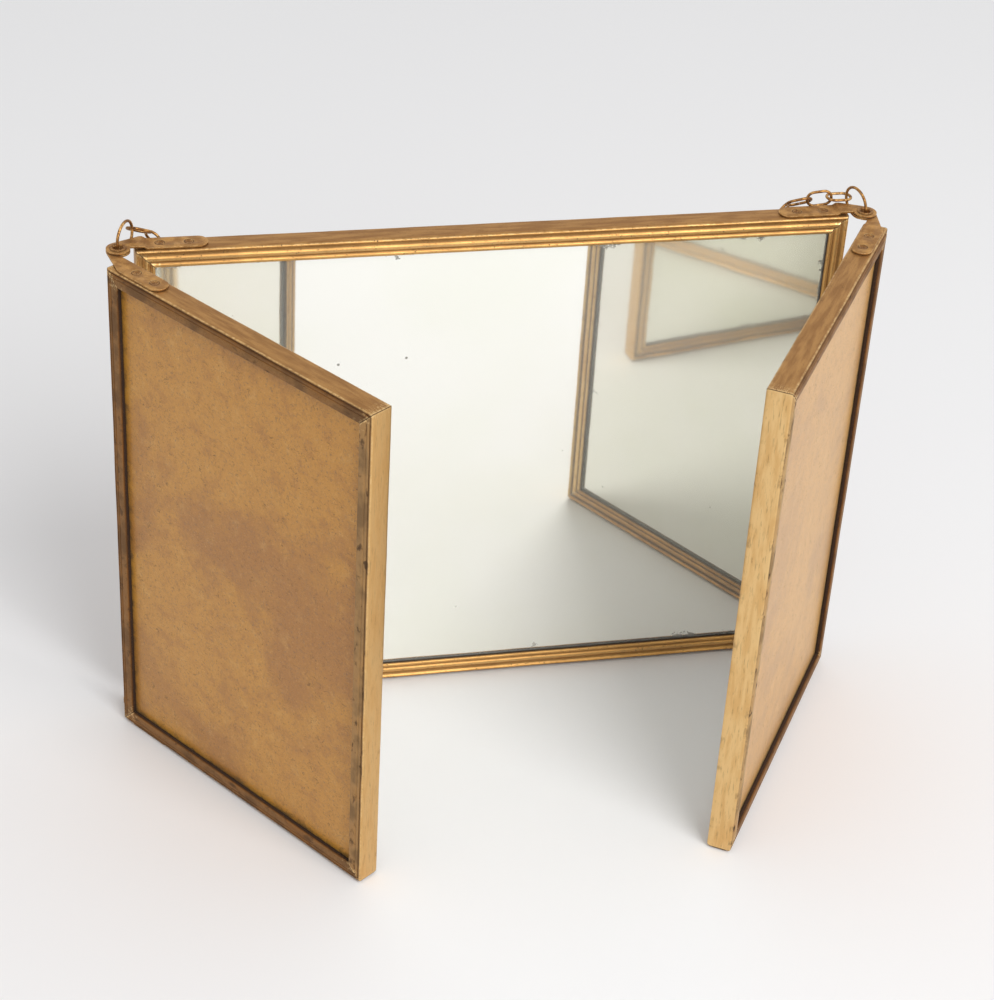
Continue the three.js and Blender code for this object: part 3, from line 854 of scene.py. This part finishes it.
def spread(length, near, inset, step, fewest):
    """Marks along a length, close together near both ends and even between them."""
    run = length - 2 * inset
    count = max(fewest, round(run / step))
    middle = [inset + run * k / count for k in range(count + 1)]
    return [*near, *middle, *(length - mark for mark in reversed(near))]


def rail_traits(u, v, depth):
    """What the finish needs to know of a point of the section."""
    return {
        "depth": max(0.0, min(u, v, depth - v)),
        "edge": min(math.hypot(u, v - 0.2), math.hypot(u, depth - 0.5 - v)),
        "behind": float(v > 5 and (v > depth - 0.7 and u > 0.3 or u > 4.5)),
        "front": float(v < 1 and u > 0.3),
    }


def rail_shape(length, seed):
    """One rail with its section in x and y, run along z, and what its finish needs."""
    depth = mm(settings("panel").depth)
    wander = mm(settings("panel").unevenness)
    section = rounded(RAIL_SECTION, SECTION_BEND, 2)
    girth = [0.0]
    for before, here in zip(section, section[1:]):
        girth.append(girth[-1] + (here - before).length)
    shape = bmesh.new()
    rings, values = [], defaultdict(list)
    for mark in spread(length, MITRE_STATIONS, MITRE_REACH, STATION_STEP, 8):
        share = mark / length
        slack = math.sin(math.pi * share)
        drift = Vector((
            wander * noise.noise((mark / DRIFT_WAVE, seed, 0)),
            wander * noise.noise((mark / DRIFT_WAVE, seed, 7)),
        )) * slack
        ring = []
        for (u, v), around in zip(section, girth):
            first, last = u + FIT / 2, length - u - FIT / 2
            run = first + (last - first) * share
            dent = noise.noise((run / DENT_LENGTH, around / DENT_WIDTH, seed))
            dent = abs(dent * wander * 0.5 * slack)
            inward_u = drift.x + (dent if u < 0.3 else 0)
            inward_v = drift.y + (dent if v < 1 else 0)
            ring.append(shape.verts.new((u + inward_u, v + inward_v, run)))
            for name, number in rail_traits(u, v, depth).items():
                values[name].append(number)
            values["corner"].append(min(run - first, last - run))
            values["along"].append((run, around, seed * 37.0))
        rings.append(ring)
    skin(shape, rings)
    shape.faces.new(rings[0])
    shape.faces.new(rings[-1])
    return shape, values


def add_rail(node, start, inward, length, place, tarnish, seed):
    """Rail that starts at a corner of its panel, its section running inward and back."""
    shape, values = rail_shape(length, seed)
    inward = Vector(inward)
    back = Vector((0, 1, 0))
    axes = Matrix((inward, back, inward.cross(back))).transposed().to_4x4()
    piece = add_piece(node, shape, place @ Matrix.Translation(start) @ axes, rolled_brass)
    vertex_values(piece.data, "along", values.pop("along"), "FLOAT_VECTOR")
    values["tarnish"] = [tarnish] * len(piece.data.vertices)
    # The wings keep little of the lighter front finish, as painted shade on their fronts facing
    # the centre mirror
    if not node.startswith("centre"):
        values["front"] = [SHADED_WING_FRONT_SHARE * number for number in values["front"]]
    for name, numbers in values.items():
        vertex_values(piece.data, name, numbers)


class TRIPTYCH_OT_frames(bpy.types.Operator):
    """Rolls the twelve brass rails and mitres them round the three panels"""
    bl_idname = "triptych.frames"
    bl_label = "Brass frames"

    def execute(self, context):
        height = mm(settings("panel").height)
        for order, name in enumerate(PANELS):
            width, place = panel_width(name), panel_place(name)
            left, right = PANELS[name]
            rails = (
                ("top", (0, 0, height), (0, 0, -1), width),
                ("bottom", (width, 0, 0), (0, 0, 1), width),
                (left, (0, 0, 0), (1, 0, 0), height),
                (right, (width, 0, height), (-1, 0, 0), height),
            )
            for step, (part, start, inward, length) in enumerate(rails):
                tarnish = FREE_TARNISH[name] if part == "free" else TARNISH[part]
                seed = order * len(rails) + step + 1
                add_rail(f"{name}_rail_{part}", start, inward, length, place, tarnish, seed)
        return {"FINISHED"}


# ------------------------------------------------------------------ sheets


def add_sheet(panel, kind, finish):
    """Cut sheet held in a frame, its edges softened and its faces slightly bowed."""
    sheet = SHEETS[kind]
    margin, back = sheet["margin"], sheet["back"]
    width = panel_width(panel) - 2 * margin
    height = mm(settings("panel").height) - 2 * margin
    corners = ((0, 0), (width, 0), (width, height), (0, height))
    shape = plate(rounded(corners, 0.8, 4), [], sheet["thickness"], 0.2)
    for axis, length in ((0, width), (1, height)):
        cut_across(shape, axis, spread(length, (1, 2.5, 5, 9), 15, 14, 2))
    seed = list(PANELS).index(panel) + 1
    rim, along = [], []
    shape.verts.ensure_lookup_table()
    for vertex in shape.verts:
        x, y, z = vertex.co
        rim.append(max(0, min(x, width - x, y, height - y)))
        along.append((x + seed * 311.0, y, z))
        dome = math.sin(math.pi * x / width) * math.sin(math.pi * y / height)
        ripple = noise.noise((x / 40, y / 40, seed * 5 + sheet["ripple"]))
        vertex.co.z += sheet["bow"] * dome * (0.6 + 0.4 * ripple)
    upright = Matrix(((1, 0, 0, margin), (0, 0, 1, back), (0, 1, 0, margin), (0, 0, 0, 1)))
    piece = add_piece(f"{panel}_{kind}", shape, panel_place(panel) @ upright, finish, 40)
    vertex_values(piece.data, "rim", rim)
    vertex_values(piece.data, "along", along, "FLOAT_VECTOR")


class TRIPTYCH_OT_mirrors(bpy.types.Operator):
    """Cuts the three silvered glasses"""
    bl_idname = "triptych.mirrors"
    bl_label = "Mirror glasses"

    def execute(self, context):
        for panel in PANELS:
            add_sheet(panel, "mirror", silvered_glass)
        return {"FINISHED"}


class TRIPTYCH_OT_packing(bpy.types.Operator):
    """Lays the strawboard between each glass and its backing board"""
    bl_idname = "triptych.packing"
    bl_label = "Packing cards"

    def execute(self, context):
        for panel in PANELS:
            add_sheet(panel, "packing_card", strawboard)
        return {"FINISHED"}


class TRIPTYCH_OT_boards(bpy.types.Operator):
    """Fits the pressed backing boards"""
    bl_idname = "triptych.boards"
    bl_label = "Backing boards"

    def execute(self, context):
        for panel in PANELS:
            add_sheet(panel, "back_board", pressed_board)
        return {"FINISHED"}


# ------------------------------------------------------------------ hinges


def strap_outline(rivet_line, end):
    """Plan of a strap from its pivot, anticlockwise."""
    hinge = settings("hinge")
    half, eye = mm(hinge.strap_width) / 2, mm(hinge.eye_radius)
    low, high = rivet_line - half, rivet_line + half
    start = math.degrees(math.asin(low / eye))
    tangent = math.radians(EYE_TANGENT)
    run = (high - eye * math.sin(tangent)) / math.tan(tangent - math.pi / 2)
    shoulder = Vector((eye * math.cos(tangent) + run, high))
    tip = arc((end - half, rivet_line), half, -90, 90, 24)
    round_eye = arc((0, 0), eye, EYE_TANGENT, 360 + start, 40)
    return [*tip, shoulder, *round_eye]


def strap_shape(end, joggle):
    """Strap lying on z 0; with a joggle its eye stands one layer higher."""
    thickness = mm(settings("hinge").strap_thickness)
    holes = [hole((0, 0), BARREL_RADIUS + FIT)]
    holes += [hole((station, end.rivet_line), RIVET_HOLE) for station in end.rivets]
    outline = strap_outline(end.rivet_line, end.strap_end)
    shape = plate(outline, holes, thickness, STRAP_BEVEL)
    if joggle:
        low, high = joggle
        cut_across(shape, 0, [low + (high - low) * k / 8 for k in range(9)])
        for vertex in shape.verts:
            t = min(max((vertex.co.x - low) / (high - low), 0), 1)
            vertex.co.z += (thickness + FIT) * (1 - t * t * (3 - 2 * t))
    for vertex in shape.verts:
        vertex.co.x *= end.side
    return shape


# An end of a panel that carries straps; side is the way from the pivot along the panel
PanelEnd = namedtuple("PanelEnd", "name hand wing side rivet_line strap_end rivets")


def panel_ends():
    """The four panel ends that meet at the pivots."""
    panel, hinge = settings("panel"), settings("hinge")
    centre_line = mm(panel.depth / 2 - hinge.behind_face)
    wing_line = mm(panel.depth / 2 + hinge.wing_face)
    for hand, side in HANDS.items():
        yield PanelEnd(
            f"centre_{hand}", hand, False, -side, centre_line, CENTRE_STRAP_END, CENTRE_RIVETS)
        yield PanelEnd(
            f"{hand}_wing", hand, True, side, wing_line, WING_STRAP_END, WING_RIVETS)


def panel_top():
    """Height of the frames' top above the table, in millimetres."""
    panel = settings("panel")
    return mm(panel.foot + panel.height)


class TRIPTYCH_OT_straps(bpy.types.Operator):
    """Punches the eight brass hinge straps"""
    bl_idname = "triptych.straps"
    bl_label = "Hinge straps"

    def execute(self, context):
        lift = Matrix.Translation((0, 0, panel_top() + FIT))
        for end in panel_ends():
            place = pivot_place(end.hand, end.wing)
            top = strap_shape(end, None if end.wing else TOP_JOGGLE)
            add_piece(f"{end.name}_strap_top", top, place @ lift, punched_brass)
            bottom = strap_shape(end, BOTTOM_JOGGLE if end.wing else None)
            add_piece(f"{end.name}_strap_bottom", bottom, place, punched_brass)
        return {"FINISHED"}


def rivet_shape():
    """Flush rivet: dimpled head above z 0, shank through the rail, tail spread inside."""
    return lathe((
        (0, -1.15), (0.9, -1.18), (1.35, -1.08), (1.5, -0.9), (1.45, -0.72), (1.0, -0.7),
        (1.0, 0.25), (1.3, 0.50), (1.58, 0.66), (1.60, 0.72), (1.52, 0.77), (1.34, 0.78),
        (1.16, 0.74), (0.98, 0.62), (0.70, 0.50), (0.35, 0.45), (0, 0.44),
    ), 40)


class TRIPTYCH_OT_rivets(bpy.types.Operator):
    """Sets the sixteen flush rivets in the straps"""
    bl_idname = "triptych.rivets"
    bl_label = "Strap rivets"

    def execute(self, context):
        levels = (("top", panel_top(), 0), ("bottom", mm(settings("panel").foot), math.pi))
        for end in panel_ends():
            for station, order in zip(end.rivets, ("outer", "inner")):
                for level, height, turn in levels:
                    spot = Matrix.Translation((end.side * station, end.rivet_line, height))
                    place = pivot_place(end.hand, end.wing) @ spot
                    place = place @ Matrix.Rotation(turn, 4, "X")
                    node = f"{end.name}_rivet_{level}_{order}"
                    add_piece(node, rivet_shape(), place, struck_brass, 50)
        return {"FINISHED"}


def eyelet_shape():
    """Hollow eyelet with rolled flanges above and below the two eyes."""
    return lathe((
        (1.65, 0.2), (1.65, 1.3), (1.75, 1.66), (2.0, 1.88), (2.3, 1.90), (2.62, 1.82),
        (FLANGE_RADIUS, 1.68), (2.72, 1.60), (BARREL_RADIUS, 1.60), (BARREL_RADIUS, -0.1),
        (2.72, -0.1), (FLANGE_RADIUS, -0.18), (2.62, -0.32), (2.3, -0.40), (2.0, -0.38),
        (1.75, -0.16),
    ), 56, closed=True)


def pivot_rivet_shape():
    """Solid pivot rivet, flush underneath and domed on top."""
    return lathe((
        (0, 0.05), (2.2, 0.03), (2.68, 0), (FLANGE_RADIUS, 0.06), (BARREL_RADIUS, 0.45),
        (BARREL_RADIUS, 1.6), (2.72, 1.6), (FLANGE_RADIUS, 1.68), (2.66, 1.86),
        (2.35, 2.04), (1.85, 2.18), (1.1, 2.27), (0.5, 2.29), (0, 2.3),
    ), 56)


class TRIPTYCH_OT_pivots(bpy.types.Operator):
    """Turns the two hollow top eyelets and the two solid bottom pivots"""
    bl_idname = "triptych.pivots"
    bl_label = "Eyelets and pivots"

    def execute(self, context):
        lift = Matrix.Translation((0, 0, panel_top() + FIT))
        for hand in HANDS:
            place = pivot_place(hand, False)
            add_piece(f"{hand}_top_eyelet", eyelet_shape(), place @ lift, struck_brass, 50)
            node = f"{hand}_bottom_pivot_rivet"
            add_piece(node, pivot_rivet_shape(), place, struck_brass, 50)
        return {"FINISHED"}


class TRIPTYCH_OT_feet(bpy.types.Operator):
    """Cuts the small brass tab under the free end of each wing"""
    bl_idname = "triptych.feet"
    bl_label = "Foot tabs"

    def execute(self, context):
        panel = settings("panel")
        thickness = mm(settings("hinge").strap_thickness)
        long, wide, corner, inset = 5.6, 5.0, 1.2, 0.6
        outline = ((0, 0), (long, 0), (long, wide), (corner, wide), (0, wide - corner))
        for hand in HANDS:
            wing = f"{hand}_wing"
            shape = plate(rounded(outline, 0.35, 4), [], thickness, STRAP_BEVEL)
            left = panel_width(wing) - inset - long if hand == "right" else inset
            spot = (left, (mm(panel.depth) - wide) / 2, -mm(panel.foot))
            place = panel_place(wing) @ Matrix.Translation(spot)
            add_piece(f"{wing}_foot_tab", shape, place, punched_brass)
        return {"FINISHED"}


# ------------------------------------------------------------------ chain


def bearing(azimuth, elevation):
    """Unit vector at an azimuth and an elevation in degrees."""
    turn, tilt = math.radians(azimuth), math.radians(elevation)
    return Vector((
        math.cos(tilt) * math.cos(turn), math.cos(tilt) * math.sin(turn), math.sin(tilt)))


def ring_pose(hand, azimuth, rise, lean, hook):
    """End ring through an eyelet: centre, long direction, plane, and where a link hooks on."""
    radius = mm(settings("chain").ring_radius)
    inward = -HANDS[hand]
    turn, tilt = math.radians(azimuth), math.radians(lean)
    level = Vector((inward * math.cos(turn), math.sin(turn), 0))
    side = Vector((inward * math.sin(turn), -math.cos(turn), 0))
    upright = Vector((0, 0, math.cos(tilt))) + side * math.sin(tilt)

    def around(degrees):
        return level * math.cos(math.radians(degrees)) + upright * math.sin(math.radians(degrees))

    layer = mm(settings("hinge").strap_thickness) + FIT
    bore = pivot_place(hand, False).translation + Vector((0, 0, panel_top() + layer + FIT / 2))
    centre = bore + around(rise) * radius
    return {
        "centre": centre, "along": level, "flat": level.cross(upright),
        "hook": centre + around(hook) * radius, "tangent": around(hook + 90),
    }


def link_pose(held, azimuth, elevation, roll):
    """Link hung on the wire of another piece."""
    along = bearing(azimuth, elevation)
    flat = (held["tangent"] - along * held["tangent"].dot(along)).normalized()
    flat.rotate(Matrix.Rotation(math.radians(roll), 3, along))
    centre = held["hook"] + along * HOOK_REACH
    reach = mm(settings("chain").bend_radius) + LINK_HALF_STRAIGHT
    return {
        "centre": centre, "along": along, "flat": flat,
        "hook": centre + along * reach, "tangent": flat.cross(along),
        "joint": centre + along * (LINK_PITCH / 2),
    }


def catenary(start, end, length, steps):
    """Points at equal steps along a hanging curve between two points."""
    span, rise = end.x - start.x, end.z - start.z
    slack = math.sqrt(length * length - rise * rise)
    low, high = span * 0.01, span * 10
    for _ in range(60):
        middle = (low + high) / 2
        if 2 * middle * math.sinh(span / (2 * middle)) > slack:
            low = middle
        else:
            high = middle
    scale = low
    bottom = span / 2 - scale * math.atanh(rise / length)
    first = scale * math.sinh(-bottom / scale)
    points = []
    for i in range(steps + 1):
        reach = first + length * i / steps
        points.append(Vector((
            start.x + bottom + scale * math.asinh(reach / scale),
            start.y + (end.y - start.y) * i / steps,
            start.z + math.hypot(scale, reach) - math.hypot(scale, first),
        )))
    return points


def in_plane(pose, points):
    """Points of a piece's own plane, its long direction first."""
    across = pose["flat"].cross(pose["along"])
    return [pose["centre"] + pose["along"] * x + across * y for x, y in points]


def ring_path(pose):
    """Ring from one side of its seam round to the other."""
    radius, gap = mm(settings("chain").ring_radius), 0.5
    return in_plane(pose, arc((0, 0), radius, RING_SEAM + gap, RING_SEAM + 360 - gap, 96))


def link_path(pose, half_straight):
    """Oval link from a seam in the middle of one long side, round to it again."""
    bend, gap = mm(settings("chain").bend_radius), 0.04
    left = arc((-half_straight, 0), bend, 90, 270, 14)
    right = arc((half_straight, 0), bend, -90, 90, 14)
    return in_plane(pose, [(-gap, bend), *left, *right, (gap, bend)])


def chain_poses():
    """Poses of both rings, the two standing links, and the chain's first and last links."""
    left = ring_pose("left", **LEFT_RING)
    right = ring_pose("right", **RIGHT_RING)
    shoulder = link_pose(right, *SHOULDER_LINK)
    edge = link_pose(shoulder, *EDGE_LINK)
    first = link_pose(left, *FIRST_LINK)
    last = link_pose(edge, *LAST_LINK)
    return left, right, shoulder, edge, first, last


def add_wire(node, paths, sides):
    """Closed loops of wire, each a path and the normal of its plane, as one piece."""
    shape = bmesh.new()
    for path, flat in paths:
        bent_wire(shape, path, flat, mm(settings("chain").wire_radius), sides)
    add_piece(node, shape, Matrix.Identity(4), drawn_brass, 50)


class TRIPTYCH_OT_rings(bpy.types.Operator):
    """Bends the end rings and the two links that stand on the right shoulder"""
    bl_idname = "triptych.rings"
    bl_label = "End rings and standing links"

    def execute(self, context):
        left, right, shoulder, edge, _, _ = chain_poses()
        add_wire("left_end_ring", [(ring_path(left), left["flat"])], 20)
        add_wire("right_end_ring", [(ring_path(right), right["flat"])], 20)
        for node, pose in (("shoulder_link", shoulder), ("edge_link", edge)):
            add_wire(node, [(link_path(pose, LINK_HALF_STRAIGHT), pose["flat"])], 18)
        return {"FINISHED"}


class TRIPTYCH_OT_chain(bpy.types.Operator):
    """Links the chain that hangs behind the centre panel"""
    bl_idname = "triptych.chain"
    bl_label = "Hanging chain"

    def execute(self, context):
        *_, first, last = chain_poses()
        bend = mm(settings("chain").bend_radius)
        wire = mm(settings("chain").wire_radius)
        snug = LINK_PITCH / 2 + wire - bend
        paths = [(link_path(pose, LINK_HALF_STRAIGHT), pose["flat"]) for pose in (first, last)]
        joints = catenary(first["joint"], last["joint"], DRAPED_LINKS * LINK_PITCH, DRAPED_LINKS)
        for i, (start, end) in enumerate(zip(joints, joints[1:])):
            along = (end - start).normalized()
            flat = (Vector((0, 1, 0)) - along * along.y).normalized()
            flat.rotate(Matrix.Rotation(math.radians(45 if i % 2 == 0 else -45), 3, along))
            pose = {"centre": (start + end) / 2, "along": along, "flat": flat}
            paths.append((link_path(pose, snug), flat))
        add_wire("hanging_chain", paths, 10)
        return {"FINISHED"}


# ------------------------------------------------------------------ stage


def add_table():
    """Wide pale table whose far rim curves up softly."""
    flat = [(0, 0), *((0.4 * 1.35 ** k, 0) for k in range(8))]
    curl = arc((TABLE_RADIUS, TABLE_CURL), TABLE_CURL, -90, -20, 12)
    shape = lathe([*flat, *curl], 96)
    bmesh.ops.reverse_faces(shape, faces=shape.faces[:])
    add_object("table", smooth_mesh("table", shape, table_paper))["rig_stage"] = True


def add_window():
    """Large soft lamp in front of the mirror, above and to the right."""
    lamp = bpy.data.lights.new("window", "AREA")
    lamp.shape = "DISK"
    lamp.size = WINDOW_SIZE
    lamp.energy = WINDOW_POWER
    lamp.color = WINDOW_COLOUR
    holder = add_object("window", lamp)
    holder.location = WINDOW_SPOT
    way = Vector(WINDOW_TARGET) - Vector(WINDOW_SPOT)
    holder.rotation_euler = way.to_track_quat("-Z", "Y").to_euler()


def light_room():
    """Even daylight, seen as white by the camera and in the metal and glass."""
    world = bpy.data.worlds.new("daylight")
    world.use_nodes = True
    bpy.context.scene.world = world
    shop = Shop(world.node_tree, "ShaderNodeOutputWorld")
    camera, glossy, through = (
        shop.add("ShaderNodeLightPath", out=f"Is {ray} Ray")
        for ray in ("Camera", "Glossy", "Transmission"))
    strength = DAYLIGHT + (camera | glossy | through) * SEEN_DAYLIGHT
    shop.finish(shop.add(
        "ShaderNodeBackground", {}, {"Color": (1.0, 1.0, 1.0), "Strength": strength}))


def add_camera():
    """Camera a little above and to the left, rolled as it was held."""
    lens = bpy.data.cameras.new("view")
    lens.lens = CAMERA_LENS
    pitch, yaw, roll = map(math.radians, (CAMERA_PITCH, CAMERA_YAW, CAMERA_ROLL))
    ahead = Vector((
        math.sin(yaw) * math.cos(pitch), math.cos(yaw) * math.cos(pitch), -math.sin(pitch)))
    right = Vector((math.cos(yaw), -math.sin(yaw), 0))
    above = right.cross(ahead)
    tilted_right = right * math.cos(roll) + above * math.sin(roll)
    tilted_up = above * math.cos(roll) - right * math.sin(roll)
    holder = add_object("view", lens)
    turn = Matrix((tilted_right, tilted_up, -ahead)).transposed().to_4x4()
    holder.matrix_world = Matrix.Translation(CAMERA_SPOT) @ turn
    bpy.context.scene.camera = holder


class TRIPTYCH_OT_stage(bpy.types.Operator):
    """Sets the table, the daylight and the camera"""
    bl_idname = "triptych.stage"
    bl_label = "Table, light and camera"

    def execute(self, context):
        add_table()
        light_room()
        add_window()
        add_camera()
        context.scene.view_settings.view_transform = "Standard"
        return {"FINISHED"}


# ------------------------------------------------------------------ add-on


OPERATORS = (
    TRIPTYCH_OT_frames,
    TRIPTYCH_OT_mirrors,
    TRIPTYCH_OT_packing,
    TRIPTYCH_OT_boards,
    TRIPTYCH_OT_straps,
    TRIPTYCH_OT_rivets,
    TRIPTYCH_OT_pivots,
    TRIPTYCH_OT_feet,
    TRIPTYCH_OT_rings,
    TRIPTYCH_OT_chain,
    TRIPTYCH_OT_stage,
)
GROUPS = {
    "panel": PanelSettings,
    "hinge": HingeSettings,
    "chain": ChainSettings,
    "finish": FinishSettings,
}


class TRIPTYCH_PT_panel(bpy.types.Panel):
    bl_idname = "TRIPTYCH_PT_panel"
    bl_label = "Triptych Mirror"
    bl_space_type = "VIEW_3D"
    bl_region_type = "UI"
    bl_category = "Triptych"

    def draw(self, context):
        for name, group in GROUPS.items():
            box = self.layout.box()
            box.label(text=name.capitalize())
            for key in group.__annotations__:
                box.prop(settings(name), key)
        for operator in OPERATORS:
            self.layout.operator(operator.bl_idname)


def register():
    for kind in (*GROUPS.values(), *OPERATORS, TRIPTYCH_PT_panel):
        bpy.utils.register_class(kind)
    for name, group in GROUPS.items():
        setattr(bpy.types.Scene, "triptych_" + name, PointerProperty(type=group))


def unregister():
    for name in GROUPS:
        delattr(bpy.types.Scene, "triptych_" + name)
    for kind in reversed((*GROUPS.values(), *OPERATORS, TRIPTYCH_PT_panel)):
        bpy.utils.unregister_class(kind)


def main():
    register()
    for operator in OPERATORS:
        group, action = operator.bl_idname.split(".")
        if getattr(getattr(bpy.ops, group), action)() != {"FINISHED"}:
            raise RuntimeError(f"{operator.bl_label} was not finished")
    sizes = {"cad": CAD_BOX, "visual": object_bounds()}
    plain = {name: [list(corner) for corner in box] for name, box in sizes.items()}


if __name__ == "__main__":
    main()
